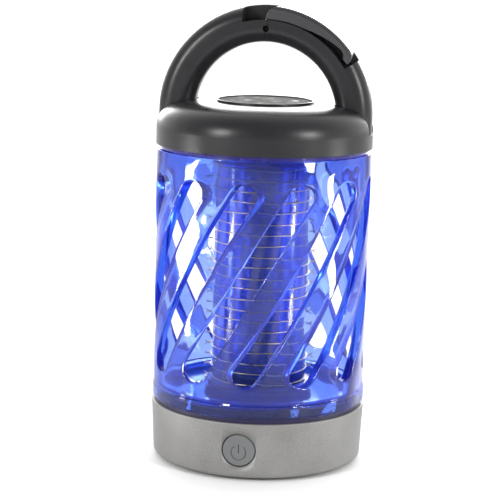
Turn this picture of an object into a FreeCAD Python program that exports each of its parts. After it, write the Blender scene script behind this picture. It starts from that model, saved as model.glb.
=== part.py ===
import FreeCAD, Part
import math
import os

# Hanging electric bug zapper: a battery base, a slotted translucent cage over an electrified
# wire grid and an ultraviolet lamp, a domed cap and a fixed ring handle with a fold-out hook.
# Millimetres. +Z is up, the power button faces -Y and the handle lies in the XZ plane.
# The origin is on the standing surface, under the centre of the base.

# ---- driving dimensions ----------------------------------------------------------------
BODY_R = 50.0            # radius of the base rim and of the cap
FOOT_H = 1.5             # rubber feet lift the base off the table

BASE_FOOT_R = 48.8       # base radius at its rounded lower edge
BASE_TOP_Z = 27.0
BASE_WALL = 2.2
BASE_EDGE_R = 1.8
BASE_MOUTH_R = 44.0      # opening that the bottom plate closes
PLATE_T = 2.0

BUTTON_Z = 14.5
BUTTON_R = 7.5
BUTTON_GAP = 0.35
BUTTON_FACE_Y = -48.7
BUTTON_TRAVEL = 1.0

LOCK_TOP_Z = 29.1        # dark ring between the base and the cage
LOCK_R = 48.7
NECK_R = 43.5            # neck of the base that the lock ring turns on

CAGE_COLLAR_Z = 35.0     # bead line above the collar
CAGE_COLLAR_R = 49.7
CAGE_LOW_R = 49.3
CAGE_TOP_R = 49.7
CAGE_IN_R = 45.5
CAGE_WALL_TOP_Z = 145.2  # below the shadow groove under the cap
CAGE_TOP_Z = 148.2

SLOT_COUNT = 12
SLOT_LOW_Z = 43.0
SLOT_HIGH_Z = 134.5
SLOT_HALF_W = 5.4
SLOT_SPAN_DEG = 55.5     # turn of each slot between its two ends
SLOT_FIRST_DEG = 1.25    # middle of the first slot, from -Y towards +X
RIB_LOW_Z = SLOT_LOW_Z + SLOT_HALF_W    # the one-piece cage is kept as top, crown, ribs and collar
RIB_HIGH_Z = SLOT_HIGH_Z - SLOT_HALF_W

GRID_R = 22.5            # wire rings
WIRE_R = 0.25
RING_COUNT = 21
RING_LOW_Z = 37.9
RING_PITCH = 4.99
SLEEVE_R = 22.0
SLEEVE_T = 0.9
POST_FIRST_DEG = -36.0
TAIL_LEFT_DEG = -80.0    # where the wire ends are twisted together
TAIL_RIGHT_DEG = 100.0
TAIL_REACH_R = 25.4
ROD_LIVE_DEG = 174.0     # contact rods, at the rear of the grid
ROD_RETURN_DEG = 206.0
ROD_R = 0.6
ROD_SPOT_R = 25.2
GRID_END_R = 24.2        # end rings of the grid's frame
GRID_FLOOR_Z = 36.4
GRID_ROOF_Z = 139.4
GRID_END_Z = 143.0

LAMP_R = 9.5
LAMP_T = 1.0
LAMP_LOW_Z = 34.0
LAMP_HIGH_Z = 137.0

CAP_LOW_Z = 147.2
CAP_SIDE_Z = 154.8
CAP_SHOULDER_R = 11.0
CAP_BLEND_DEG = 70.0     # where the shoulder passes into the flatter crown
CAP_TOP_Z = 166.8
CAP_WALL = 2.0
DISC_R = 21.7
DISC_PROUD = 0.5
RIM_T = 0.9              # raised rim round the disc
RIM_H = 1.1

RING_Z = 161.5           # centre of the handle's ring
RING_OUT_R = 49.5
RING_IN_R = 32.9
HANDLE_HALF_Y = 8.2
HANDLE_EDGE_R = 6.5
LEG_LOW_Z = 154.0

PIN_X = 0.5              # hook pivot
PIN_Z = 200.5
PIN_R = 1.5
PIN_Y = (-6.9, 5.0)
POCKET_FLOOR_R = 43.0
POCKET_LEFT_X = -10.5
POCKET_END_DEG = 58.8
POCKET_BACK_Y = 2.5
POCKET_SKIN_Y = -7.0     # back of the thin front wall over the hook's nose and eye
SLOT_X = (-9.4, 6.2)     # slots behind that wall: a deep one for the eye, a wide one for the nose
NOSE_SLOT_R = 38.4
EYE_SLOT_R = 35.2
HOOK_GAP = 0.3
HOOK_FACE_Y = -6.7
HOOK_EDGE_R = 1.6
EYE_FACE_Y = -5.4
EYE_R = 3.4

UP = FreeCAD.Vector(0, 0, 1)
ALONG_Y = FreeCAD.Vector(0, 1, 0)
ALONG_X = FreeCAD.Vector(1, 0, 0)
ORIGIN = FreeCAD.Vector(0, 0, 0)


# ---- helpers -----------------------------------------------------------------------------
def vec(x, y, z):
    return FreeCAD.Vector(x, y, z)


def around(radius, angle_deg, z=0.0):
    """Point at a radius, with the angle measured from -Y towards +X."""
    angle = math.radians(angle_deg)
    return vec(radius * math.sin(angle), -radius * math.cos(angle), z)


def disc(radius, low, high, x=0.0, y=0.0):
    return Part.makeCylinder(radius, high - low, vec(x, y, low))


def tube(outer, inner, low, high, x=0.0, y=0.0):
    return disc(outer, low, high, x, y).cut(disc(inner, low - 1, high + 1, x, y))


def rod_y(radius, y_low, y_high, x, z):
    return Part.makeCylinder(radius, y_high - y_low, vec(x, y_low, z), ALONG_Y)


def rod_x(radius, x_low, x_high, y, z):
    return Part.makeCylinder(radius, x_high - x_low, vec(x_low, y, z), ALONG_X)


def block(x_low, x_high, y_low, y_high, z_low, z_high):
    return Part.makeBox(x_high - x_low, y_high - y_low, z_high - z_low, vec(x_low, y_low, z_low))


def spin(edges):
    """Solid of revolution about Z from closed edges drawn at Y = 0."""
    return Part.Face(Part.Wire(edges)).revolve(ORIGIN, UP, 360)


def polyline(points):
    return [Part.makeLine(vec(a, 0, b), vec(c, 0, d))
            for (a, b), (c, d) in zip(points, points[1:]) if (a, b) != (c, d)]


def arc_at(center_r, center_z, radius, from_deg, to_deg):
    """Arc in the XZ plane, with angles from +X towards +Z."""
    points = []
    for angle_deg in (from_deg, (from_deg + to_deg) / 2.0, to_deg):
        angle = math.radians(angle_deg)
        points.append(vec(center_r + radius * math.cos(angle), 0, center_z + radius * math.sin(angle)))
    return Part.Arc(*points).toShape()


def fuse_all(shapes):
    return shapes[0].multiFuse(shapes[1:]).removeSplitter() if len(shapes) > 1 else shapes[0]


def turned(shape, angle_deg):
    """Copy turned about Z from -Y towards +X."""
    copy = shape.copy()
    copy.rotate(ORIGIN, UP, angle_deg)
    return copy


def save(node, shape):
    if not shape.isValid():
        print("INVALID", node)
    shape.exportStep("parts/" + node + ".step")
    print(node, len(shape.Solids), round(shape.Volume / 1000.0, 3), "cm3")


# ---- base --------------------------------------------------------------------------------
BASE_SCREW_R = 39.0
BASE_SCREW_DEGS = [45.0, 135.0, 225.0, 315.0]
FOOT_SPOT_R = 38.0
FOOT_PAD_R = 4.5
FLOOR_Z = FOOT_H + PLATE_T          # top of the bottom plate
DECK_Z = BASE_TOP_Z - BASE_WALL     # underside of the base's top deck
SOCKET_Z = 10.0
BOARD_Z = FLOOR_Z + 1.8             # control board, on the plate's standoffs
BOARD_T = 1.4
BOARD_SCREWS = [(x, y) for x in (-18, 18) for y in (-25, -7)]


def stadium_y(half_x, radius, y_low, y_high, z):
    return fuse_all([rod_y(radius, y_low, y_high, -half_x, z), rod_y(radius, y_low, y_high, half_x, z),
                     block(-half_x, half_x, y_low, y_high, z - radius, z + radius)])


def base_housing():
    side_low = FOOT_H + BASE_EDGE_R
    outside = polyline([(BASE_MOUTH_R, FOOT_H), (BASE_FOOT_R - BASE_EDGE_R, FOOT_H)])
    outside.append(arc_at(BASE_FOOT_R - BASE_EDGE_R, side_low, BASE_EDGE_R, -90, 0))
    outside += polyline([(BASE_FOOT_R, side_low), (BODY_R, BASE_TOP_Z), (NECK_R, BASE_TOP_Z),
                         (NECK_R, BASE_TOP_Z + 3.0), (NECK_R - 1.8, BASE_TOP_Z + 3.0),
                         (NECK_R - 1.8, BASE_TOP_Z), (4.0, BASE_TOP_Z), (4.0, DECK_Z),
                         (BODY_R - BASE_WALL - 0.2, DECK_Z), (BASE_FOOT_R - BASE_WALL, side_low + 1),
                         (BASE_MOUTH_R, FLOOR_Z + 0.7), (BASE_MOUTH_R, FOOT_H)])
    housing = spin(outside)
    bosses = []
    for angle in BASE_SCREW_DEGS:
        spot = around(BASE_SCREW_R, angle)
        bosses.append(disc(3.4, FLOOR_Z, DECK_Z + 0.5, spot.x, spot.y))
    housing = housing.multiFuse(bosses)
    for angle in BASE_SCREW_DEGS:
        spot = around(BASE_SCREW_R, angle)
        housing = housing.cut(disc(1.3, FLOOR_Z - 1, 18.0, spot.x, spot.y))
    housing = housing.cut(rod_y(BUTTON_R + BUTTON_GAP, -60, -40, 0, BUTTON_Z))
    housing = housing.cut(stadium_y(3.0, 1.75, 40, 60, SOCKET_Z))
    return housing.removeSplitter()


def base_plate():
    plate = disc(BASE_MOUTH_R - 0.15, FOOT_H, FLOOR_Z)
    standoffs = [disc(2.4, FLOOR_Z - 0.5, BOARD_Z, x, y) for x, y in BOARD_SCREWS]
    standoffs += [disc(1.8, FLOOR_Z - 0.5, SOCKET_Z - 3.2, x, 34) for x in (-9, 9)]
    plate = plate.multiFuse(standoffs)
    for angle in BASE_SCREW_DEGS:
        spot = around(BASE_SCREW_R, angle)
        plate = plate.cut(disc(1.6, 0, FLOOR_Z + 1, spot.x, spot.y))
        plate = plate.cut(disc(3.0, 0, FOOT_H + 1.2, spot.x, spot.y))
    return plate.removeSplitter()


def rubber_feet():
    feet = []
    for angle in (0, 90, 180, 270):
        spot = around(FOOT_SPOT_R, angle)
        foot = disc(FOOT_PAD_R, 0, FOOT_H, spot.x, spot.y)
        feet.append(foot.makeFillet(0.6, [edge for edge in foot.Edges if edge.BoundBox.ZMax < 0.01]))
    return Part.makeCompound(feet)


def screw_up(x, y, head_low, head_r, head_h, shank_r, shank_high):
    """Pan-head screw pointing up, with a cross recess in its head."""
    screw = disc(head_r, head_low, head_low + head_h, x, y)
    screw = screw.fuse(disc(shank_r, head_low + head_h - 0.1, shank_high, x, y))
    arm = head_r * 0.6
    for half_x, half_y in ((arm, 0.3), (0.3, arm)):
        screw = screw.cut(block(x - half_x, x + half_x, y - half_y, y + half_y,
                                head_low - 0.5, head_low + head_h * 0.55))
    return screw


def base_screws():
    screws = []
    for angle in BASE_SCREW_DEGS:
        spot = around(BASE_SCREW_R, angle)
        screws.append(screw_up(spot.x, spot.y, FOOT_H + 0.1, 2.7, 1.1, 1.25, 16.0))
    return Part.makeCompound(screws)


# ---- power button and its switch -----------------------------------------------------------
FLANGE_Y = (-45.1, -43.9)
STEM_BACK_Y = -42.3
PLUNGER_BACK_Y = -40.2
SWITCH_Y = (-41.0, -37.5)


def power_symbol(depth):
    """Open ring with an upright bar, cut into the button's face."""
    ring_z = BUTTON_Z - 1.1
    low_y = BUTTON_FACE_Y - 1
    high_y = BUTTON_FACE_Y + depth
    ring = rod_y(3.6, low_y, high_y, 0, ring_z).cut(rod_y(3.1, low_y - 1, high_y + 1, 0, ring_z))
    ring = ring.cut(block(-2.0, 2.0, low_y - 1, high_y + 1, ring_z, ring_z + 5))
    bar = block(-0.25, 0.25, low_y, high_y, ring_z, ring_z + 3.6)
    return [ring, bar]


def power_button():
    cap = rod_y(BUTTON_R, BUTTON_FACE_Y, FLANGE_Y[1], 0, BUTTON_Z)
    cap = cap.makeFillet(0.8, [edge for edge in cap.Edges if edge.BoundBox.YMax < BUTTON_FACE_Y + 0.01])
    flange = rod_y(BUTTON_R + 1.1, FLANGE_Y[0], FLANGE_Y[1], 0, BUTTON_Z)
    stem = rod_y(2.5, FLANGE_Y[1] - 0.1, STEM_BACK_Y, 0, BUTTON_Z)
    button = cap.multiFuse([flange, stem])
    for cutter in power_symbol(0.4):
        button = button.cut(cutter)
    return button


def switch_plunger():
    return rod_y(1.7, STEM_BACK_Y, PLUNGER_BACK_Y, 0, BUTTON_Z)


def tact_switch():
    body = block(-3.1, 3.1, SWITCH_Y[0], SWITCH_Y[1], BUTTON_Z - 3.1, BUTTON_Z + 3.1)
    return body.cut(rod_y(1.78, SWITCH_Y[0] - 1, PLUNGER_BACK_Y + BUTTON_TRAVEL + 0.2, 0, BUTTON_Z))


def switch_board():
    return block(-10, 10, SWITCH_Y[1], SWITCH_Y[1] + 1.2, FLOOR_Z, BUTTON_Z + 6)


# ---- electronics ---------------------------------------------------------------------------
CELL_R = 9.2
CELL_HALF_L = 32.5
CELL_Y = 12.0
CELL_Z = FLOOR_Z + 1.2 + CELL_R


def control_board():
    board = block(-22, 22, -29, -3, BOARD_Z, BOARD_Z + BOARD_T)
    for x, y in BOARD_SCREWS:
        board = board.cut(disc(1.1, BOARD_Z - 1, BOARD_Z + 4, x, y))
    return board


def board_screws():
    screws = []
    for x, y in BOARD_SCREWS:
        head = disc(2.0, BOARD_Z + BOARD_T, BOARD_Z + BOARD_T + 1.2, x, y)
        shank = disc(1.0, BOARD_Z, BOARD_Z + BOARD_T + 0.1, x, y)
        screws.append(head.fuse(shank))
    return Part.makeCompound(screws)


def transformer_core():
    low = BOARD_Z + BOARD_T
    core = block(-14, 0, -23, -9, low, low + 12)
    window = block(-11, -3, -30, 0, low + 3, low + 9)
    return core.cut(window)


def transformer_coil():
    low = BOARD_Z + BOARD_T
    return rod_y(2.9, -22.5, -9.5, -7, low + 6)


def hv_capacitors():
    low = BOARD_Z + BOARD_T
    cans = []
    for index in range(3):
        x = 2.0 + 5.2 * index
        can = block(x, x + 4.2, -21, -11, low + 0.5, low + 11)
        can = can.makeFillet(1.2, can.Edges)
        leads = [disc(0.35, low, low + 1.5, x + 2.1, y) for y in (-19, -13)]
        cans.append(can.multiFuse(leads))
    return Part.makeCompound(cans)


def battery_cell():
    can = rod_x(CELL_R, -CELL_HALF_L, CELL_HALF_L - 1.2, CELL_Y, CELL_Z)
    can = can.makeFillet(0.7, can.Edges)
    nub = rod_x(3.0, CELL_HALF_L - 1.3, CELL_HALF_L, CELL_Y, CELL_Z)
    return can.fuse(nub)


def battery_holder():
    holder = block(-36, 36, CELL_Y - 10.2, CELL_Y + 10.2, FLOOR_Z, CELL_Z + 3)
    holder = holder.cut(rod_x(CELL_R + 0.2, -34, 34, CELL_Y, CELL_Z))
    holder = holder.cut(block(-34, 34, CELL_Y - CELL_R - 0.2, CELL_Y + CELL_R + 0.2, CELL_Z, CELL_Z + 9))
    return holder


def battery_contacts():
    contacts = []
    for side in (-1, 1):
        plate = rod_x(5.0, 33.2, 33.8, CELL_Y, CELL_Z)
        dimple = rod_x(1.5, CELL_HALF_L, 33.3, CELL_Y, CELL_Z)
        contact = plate.fuse(dimple)
        if side < 0:
            contact = contact.mirror(ORIGIN, ALONG_X)
        contacts.append(contact)
    return Part.makeCompound(contacts)


def charging_board():
    return block(-11, 11, 28, 44, SOCKET_Z - 3.2, SOCKET_Z - 1.7)


def charging_socket():
    shell = stadium_y(2.9, 1.65, 40.5, 48.2, SOCKET_Z)
    shell = shell.cut(stadium_y(2.9, 1.35, 41.5, 50, SOCKET_Z))
    tongue = block(-3.0, 3.0, 41.0, 47.4, SOCKET_Z - 0.35, SOCKET_Z + 0.35)
    return shell.fuse(tongue).removeSplitter()


# ---- lock ring and insect dish ---------------------------------------------------------------
DISH_FLOOR_Z = 31.0


def lock_ring():
    ring = tube(LOCK_R, NECK_R + 0.06, BASE_TOP_Z + 0.02, LOCK_TOP_Z)
    collar = tube(CAGE_IN_R - 0.3, NECK_R + 0.06, LOCK_TOP_Z - 0.1, 32.0)
    ring = ring.fuse(collar)
    lugs = []
    for angle in (30, 120, 210, 300):
        lug = tube(CAGE_IN_R - 0.3, CAGE_IN_R - 1.2, 31.5, 33.0)
        wedge = turned(block(-7, 7, -60, 0, 31.5, 33.0), angle)
        lugs.append(lug.common(wedge))
    return ring.multiFuse(lugs).removeSplitter()


def insect_dish():
    """Tray that catches what falls from the grid, kept as its floor and its two walls."""
    floor_top = DISH_FLOOR_Z + 1.2
    floor = tube(43.2, 24.6, DISH_FLOOR_Z, floor_top)
    inner_wall = tube(25.8, 24.6, floor_top, 34.5)
    outer_wall = spin(polyline([(42.0, floor_top), (43.2, floor_top), (43.2, 33.4), (44.9, 33.4),
                                (44.9, 35.6), (42.0, 35.6), (42.0, floor_top)]))
    return Part.makeCompound([floor, inner_wall, outer_wall])


# ---- electrified grid --------------------------------------------------------------------------
def grid_frame():
    foot = tube(GRID_END_R, 20.8, BASE_TOP_Z, GRID_FLOOR_Z)
    foot = foot.cut(tube(SLEEVE_R + 0.05, SLEEVE_R - SLEEVE_T - 0.05, GRID_FLOOR_Z - 2.0, GRID_FLOOR_Z + 1))
    head = tube(GRID_END_R, 8.0, GRID_ROOF_Z, GRID_END_Z)
    head = head.cut(tube(SLEEVE_R + 0.05, SLEEVE_R - SLEEVE_T - 0.05, GRID_ROOF_Z - 1, GRID_ROOF_Z + 1.2))
    head = head.cut(disc(LAMP_R + 0.1, GRID_ROOF_Z - 1, GRID_ROOF_Z + 1.0))
    posts = []
    for index in range(4):
        post = block(-1.5, 1.5, -20.95, -18.4, BASE_TOP_Z + 1, GRID_ROOF_Z + 0.5)
        posts.append(turned(post, POST_FIRST_DEG + 90.0 * index))
    sill = tube(21.5, 18.4, BASE_TOP_Z, BASE_TOP_Z + 3)
    return foot.multiFuse([sill, head] + posts).removeSplitter()


def grid_sleeve():
    return tube(SLEEVE_R, SLEEVE_R - SLEEVE_T, GRID_FLOOR_Z - 1.9, GRID_ROOF_Z + 1.1)


def spoke(reach, angle, z):
    """Short straight wire from a ring outwards."""
    return Part.makeCylinder(WIRE_R * 0.8, reach - GRID_R, around(GRID_R, angle, z), around(1.0, angle))


def wire_ring(index, rod_angle):
    """One ring of wire, with its twisted ends on the left and right and its lead to a contact rod."""
    z = RING_LOW_Z + RING_PITCH * index
    ring = Part.makeTorus(GRID_R, WIRE_R, vec(0, 0, z), UP)
    spokes = [spoke(TAIL_REACH_R, TAIL_LEFT_DEG, z), spoke(TAIL_REACH_R, TAIL_RIGHT_DEG, z),
              spoke(ROD_SPOT_R - ROD_R, rod_angle, z)]
    return ring.multiFuse(spokes)


def wire_rings(first, rod_angle):
    rings = [wire_ring(index, rod_angle) for index in range(first, RING_COUNT, 2)]
    return Part.makeCompound(rings)


def contact_rod(angle):
    spot = around(ROD_SPOT_R, angle)
    rod = disc(ROD_R, GRID_FLOOR_Z - 0.8, GRID_ROOF_Z + 1.6, spot.x, spot.y)
    start_r = GRID_END_R + 0.05
    arms = [Part.makeCylinder(ROD_R, ROD_SPOT_R - start_r, around(start_r, angle, z), around(1.0, angle))
            for z in (GRID_FLOOR_Z - 0.6, GRID_ROOF_Z + 1.2)]
    return rod.multiFuse(arms)


# ---- ultraviolet lamp ----------------------------------------------------------------------------
def lamp_tube():
    return tube(LAMP_R, LAMP_R - LAMP_T, LAMP_LOW_Z, LAMP_HIGH_Z)


def lamp_holder():
    holder = disc(11.5, BASE_TOP_Z, 38.0)
    holder = holder.cut(tube(LAMP_R + 0.05, LAMP_R - LAMP_T - 0.05, LAMP_LOW_Z, 39.0))
    return holder.cut(block(-6.2, 6.2, -0.7, 0.7, 34.0, 39.0))


def lamp_cap():
    cap = disc(LAMP_R + 0.05, LAMP_HIGH_Z, LAMP_HIGH_Z + 3.3)
    plug = disc(LAMP_R - LAMP_T - 0.05, LAMP_HIGH_Z - 4.0, LAMP_HIGH_Z + 0.1)
    cap = cap.fuse(plug)
    return cap.cut(block(-6.2, 6.2, -0.7, 0.7, LAMP_HIGH_Z - 5.0, LAMP_HIGH_Z - 1.0))


def led_board():
    return block(-6.0, 6.0, -0.6, 0.6, 34.2, LAMP_HIGH_Z - 1.2)


def uv_leds():
    leds = []
    for index in range(8):
        z = 46.0 + 11.5 * index
        for side in (-1, 1):
            y_low = 0.6 if side > 0 else -1.9
            leds.append(block(-1.75, 1.75, y_low, y_low + 1.3, z - 1.4, z + 1.4))
    return Part.makeCompound(leds)


# ---- cage -----------------------------------------------------------------------------------------
CAGE_SCREW_R = 42.6
CAGE_SCREW_DEGS = [0.0, 120.0, 240.0]


def slot_cutter():
    """One slanting slot with round ends, cut straight through along -Y."""
    lean = 0.5 * (CAGE_LOW_R + CAGE_TOP_R) * math.sin(math.radians(SLOT_SPAN_DEG / 2.0))
    low = vec(-lean, 0, SLOT_LOW_Z + SLOT_HALF_W)
    high = vec(lean, 0, SLOT_HIGH_Z - SLOT_HALF_W)
    run = high.sub(low)
    side = vec(run.z, 0, -run.x)
    side.normalize()
    side.multiply(SLOT_HALF_W)
    corners = [low.add(side), high.add(side), high.sub(side), low.sub(side), low.add(side)]
    outline = Part.makePolygon([vec(p.x, -70, p.z) for p in corners])
    middle = Part.Face(outline).extrude(vec(0, 45, 0))
    ends = [rod_y(SLOT_HALF_W, -70, -25, p.x, p.z) for p in (low, high)]
    return middle.multiFuse(ends)


def cage_shell():
    profile = polyline([(CAGE_COLLAR_R, LOCK_TOP_Z + 0.02), (CAGE_COLLAR_R, CAGE_COLLAR_Z - 0.5),
                        (CAGE_LOW_R, CAGE_COLLAR_Z + 0.3), (CAGE_TOP_R, CAGE_WALL_TOP_Z),
                        (CAGE_TOP_R - 1.9, CAGE_WALL_TOP_Z), (CAGE_TOP_R - 1.9, CAGE_TOP_Z),
                        (39.8, CAGE_TOP_Z), (39.8, CAGE_TOP_Z - 2.0), (CAGE_IN_R, CAGE_TOP_Z - 2.0),
                        (CAGE_IN_R, LOCK_TOP_Z + 0.02), (CAGE_COLLAR_R, LOCK_TOP_Z + 0.02)])
    shell = spin(profile)
    cutter = slot_cutter()
    for index in range(SLOT_COUNT):
        shell = shell.cut(turned(cutter, SLOT_FIRST_DEG + index * 360.0 / SLOT_COUNT))
    for angle in CAGE_SCREW_DEGS:
        spot = around(CAGE_SCREW_R, angle)
        shell = shell.cut(disc(1.5, CAGE_TOP_Z - 3, CAGE_TOP_Z + 1, spot.x, spot.y))
    return shell


def cage_slice(low, high):
    """The stretch of the moulded cage between two heights."""
    return cage_shell().common(disc(60, low, high))


def cage_top():
    return cage_slice(CAGE_WALL_TOP_Z, CAGE_TOP_Z + 1)


def cage_crown():
    return cage_slice(RIB_HIGH_Z, CAGE_WALL_TOP_Z)


def cage_ribs():
    return cage_slice(RIB_LOW_Z, RIB_HIGH_Z)


def cage_collar():
    return cage_slice(LOCK_TOP_Z, RIB_LOW_Z)


# ---- cap --------------------------------------------------------------------------------------------
RECESS_IN_X = 32.2
RECESS_HALF_Y = 8.7
RECESS_FLOOR_Z = 153.9
LINER_T = 1.5
CAP_PLATE_Z = (CAGE_TOP_Z + 0.02, CAGE_TOP_Z + 1.5)


def cap_solid(inset):
    """Solid inside the dome, drawn in by the inset."""
    side_r = BODY_R - inset
    shoulder_r = BODY_R - CAP_SHOULDER_R
    blend = math.radians(CAP_BLEND_DEG)
    rise = CAP_SHOULDER_R * math.sin(blend)
    crown = (CAP_TOP_Z - CAP_SIDE_Z - rise) / (1 - math.sin(blend))
    flat_r = shoulder_r - (crown - CAP_SHOULDER_R) * math.cos(blend)
    top_z = CAP_TOP_Z - inset
    edges = polyline([(0, CAP_LOW_Z), (side_r, CAP_LOW_Z), (side_r, CAP_SIDE_Z)])
    edges.append(arc_at(shoulder_r, CAP_SIDE_Z, CAP_SHOULDER_R - inset, 0, CAP_BLEND_DEG))
    edges.append(arc_at(flat_r, CAP_TOP_Z - crown, crown - inset, CAP_BLEND_DEG, 90))
    edges += polyline([(flat_r, top_z), (0, top_z), (0, CAP_LOW_Z)])
    return spin(edges)


def leg_box(sign, grow):
    low = RECESS_IN_X - grow
    if sign < 0:
        return block(-60, -low, -RECESS_HALF_Y - grow, RECESS_HALF_Y + grow, RECESS_FLOOR_Z - grow, 190)
    return block(low, 60, -RECESS_HALF_Y - grow, RECESS_HALF_Y + grow, RECESS_FLOOR_Z - grow, 190)


def cap_shell():
    outer = cap_solid(0.0)
    shell = outer.cut(cap_solid(CAP_WALL)).cut(disc(BODY_R - CAP_WALL, CAP_LOW_Z - 1, CAP_LOW_Z + 0.1))
    liners = [leg_box(sign, LINER_T).common(outer) for sign in (-1, 1)]
    bosses = []
    for angle in CAGE_SCREW_DEGS:
        spot = around(CAGE_SCREW_R, angle)
        bosses.append(disc(2.9, CAP_PLATE_Z[1] + 0.05, 163.0, spot.x, spot.y).common(outer))
    shell = shell.multiFuse(liners + bosses)
    for sign in (-1, 1):
        shell = shell.cut(leg_box(sign, 0.0))
        shell = shell.cut(disc(1.6, RECESS_FLOOR_Z - 3, RECESS_FLOOR_Z + 1, sign * 41.0, 0))
    for angle in CAGE_SCREW_DEGS:
        spot = around(CAGE_SCREW_R, angle)
        shell = shell.cut(disc(1.25, CAP_PLATE_Z[1], 158.0, spot.x, spot.y))
    rim = tube(DISC_R + 0.15 + RIM_T, DISC_R + 0.15, CAP_TOP_Z - 0.6, CAP_TOP_Z + RIM_H)
    rim = rim.makeFillet(0.3, [edge for edge in rim.Edges if edge.BoundBox.ZMin > CAP_TOP_Z])
    return shell.cut(disc(DISC_R + 0.2, CAP_TOP_Z - 0.6, CAP_TOP_Z + 2)).fuse(rim)


def cap_plate():
    plate = disc(BODY_R - CAP_WALL - 0.3, CAP_PLATE_Z[0], CAP_PLATE_Z[1])
    for angle in CAGE_SCREW_DEGS:
        spot = around(CAGE_SCREW_R, angle)
        plate = plate.cut(disc(1.5, CAP_PLATE_Z[0] - 1, CAP_PLATE_Z[1] + 1, spot.x, spot.y))
    return plate


def cap_screws():
    screws = []
    for angle in CAGE_SCREW_DEGS:
        spot = around(CAGE_SCREW_R, angle)
        screws.append(screw_up(spot.x, spot.y, CAGE_TOP_Z - 3.3, 2.5, 1.3, 1.2, 156.0))
    return Part.makeCompound(screws)


def cap_disc():
    plate = disc(DISC_R, CAP_TOP_Z - 0.6, CAP_TOP_Z + DISC_PROUD)
    return plate.makeFillet(0.4, [edge for edge in plate.Edges if edge.BoundBox.ZMin > CAP_TOP_Z])


# ---- handle and hook ----------------------------------------------------------------------------------
def ring_section():
    """Rounded section of the handle, drawn at its left leg."""
    edge = HANDLE_EDGE_R
    section = block(RING_IN_R, RING_OUT_R, -HANDLE_HALF_Y, HANDLE_HALF_Y, RING_Z - 1, RING_Z)
    section = section.makeFillet(edge, [e for e in section.Edges if e.BoundBox.ZLength > 0.5])
    face = [f for f in section.Faces if f.BoundBox.ZMin > RING_Z - 0.01][0]
    return face


def handle_body():
    face = ring_section()
    arch = face.revolve(vec(0, 0, RING_Z), vec(0, -1, 0), 180)
    leg = face.extrude(vec(0, 0, LEG_LOW_Z - RING_Z))
    return fuse_all([arch, leg, leg.mirror(ORIGIN, ALONG_X)])


def pocket_space(floor_r, left_x, end_deg, y_low, y_high):
    """Space between the pocket's floor and the outside of the ring, from its left to its end wall."""
    space = rod_y(RING_OUT_R + 12, y_low, y_high, 0, RING_Z)
    space = space.cut(rod_y(floor_r, y_low - 1, y_high + 1, 0, RING_Z))
    space = space.cut(block(-80, left_x, y_low - 1, y_high + 1, RING_Z - 80, RING_Z + 80))
    beyond = block(0, 80, y_low - 1, y_high + 1, -80, 0)
    beyond.rotate(ORIGIN, ALONG_Y, end_deg - 90)
    beyond.translate(vec(0, 0, RING_Z))
    space = space.cut(beyond)
    return space.common(block(-80, 80, y_low - 1, y_high + 1, RING_Z, RING_Z + 80))


def hidden_slot(floor_r, x_low, x_high, y_low):
    """Slot below the pocket's floor, closed in front, where part of the hook turns."""
    slot = rod_y(POCKET_FLOOR_R + 0.5, y_low, POCKET_BACK_Y, 0, RING_Z)
    slot = slot.cut(rod_y(floor_r, -30, 30, 0, RING_Z))
    return slot.common(block(x_low, x_high, -30, 30, RING_Z, RING_Z + 60))


def mould_line():
    """Fine slit in the front wall, from the pin's hole up to the pocket."""
    slit = block(-0.15, 0.15, -HANDLE_HALF_Y - 1, EYE_FACE_Y, 0, 5.0)
    slit.rotate(ORIGIN, ALONG_Y, -8)
    slit.translate(vec(PIN_X + PIN_R - 0.3, 0, PIN_Z))
    return slit


def handle_ring():
    ring = handle_body()
    ring = ring.cut(pocket_space(POCKET_FLOOR_R, POCKET_LEFT_X, POCKET_END_DEG, -30, POCKET_BACK_Y))
    ring = ring.cut(hidden_slot(NOSE_SLOT_R, SLOT_X[0], PIN_X, POCKET_SKIN_Y))
    ring = ring.cut(hidden_slot(EYE_SLOT_R, SLOT_X[0], SLOT_X[1], EYE_FACE_Y - HOOK_GAP))
    ring = ring.cut(mould_line())
    ring = ring.cut(rod_y(PIN_R, -20, PIN_Y[1], PIN_X, PIN_Z))
    for sign in (-1, 1):
        ring = ring.cut(disc(1.3, LEG_LOW_Z - 1, LEG_LOW_Z + 9, sign * 41.0, 0))
    return ring


def handle_screws():
    screws = []
    for sign in (-1, 1):
        screws.append(screw_up(sign * 41.0, 0, RECESS_FLOOR_Z - LINER_T - 1.2, 2.6, 1.2, 1.25, 162.0))
    return Part.makeCompound(screws)


def hook_pin():
    return rod_y(PIN_R, PIN_Y[0], PIN_Y[1], PIN_X, PIN_Z)


def ring_point(radius, angle_deg):
    """Point in the handle's plane, with the angle measured from its top towards +X."""
    angle = math.radians(angle_deg)
    return vec(radius * math.sin(angle), 0, RING_Z + radius * math.cos(angle))


def arc_through(first, middle, last):
    return Part.Arc(first, middle, last).toShape()


def plate_y(edges, y_low, y_high):
    """Flat plate from closed edges drawn in the handle's plane."""
    face = Part.Face(Part.Wire(edges))
    face.translate(vec(0, y_low, 0))
    return face.extrude(vec(0, y_high - y_low, 0))


def hook_envelope():
    """The ring's outline with only its front outer edge rounded."""
    envelope = rod_y(RING_OUT_R, HOOK_FACE_Y, 8, 0, RING_Z)
    return envelope.makeFillet(HOOK_EDGE_R, [edge for edge in envelope.Edges
                                             if edge.BoundBox.YMax < HOOK_FACE_Y + 0.01])


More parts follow.
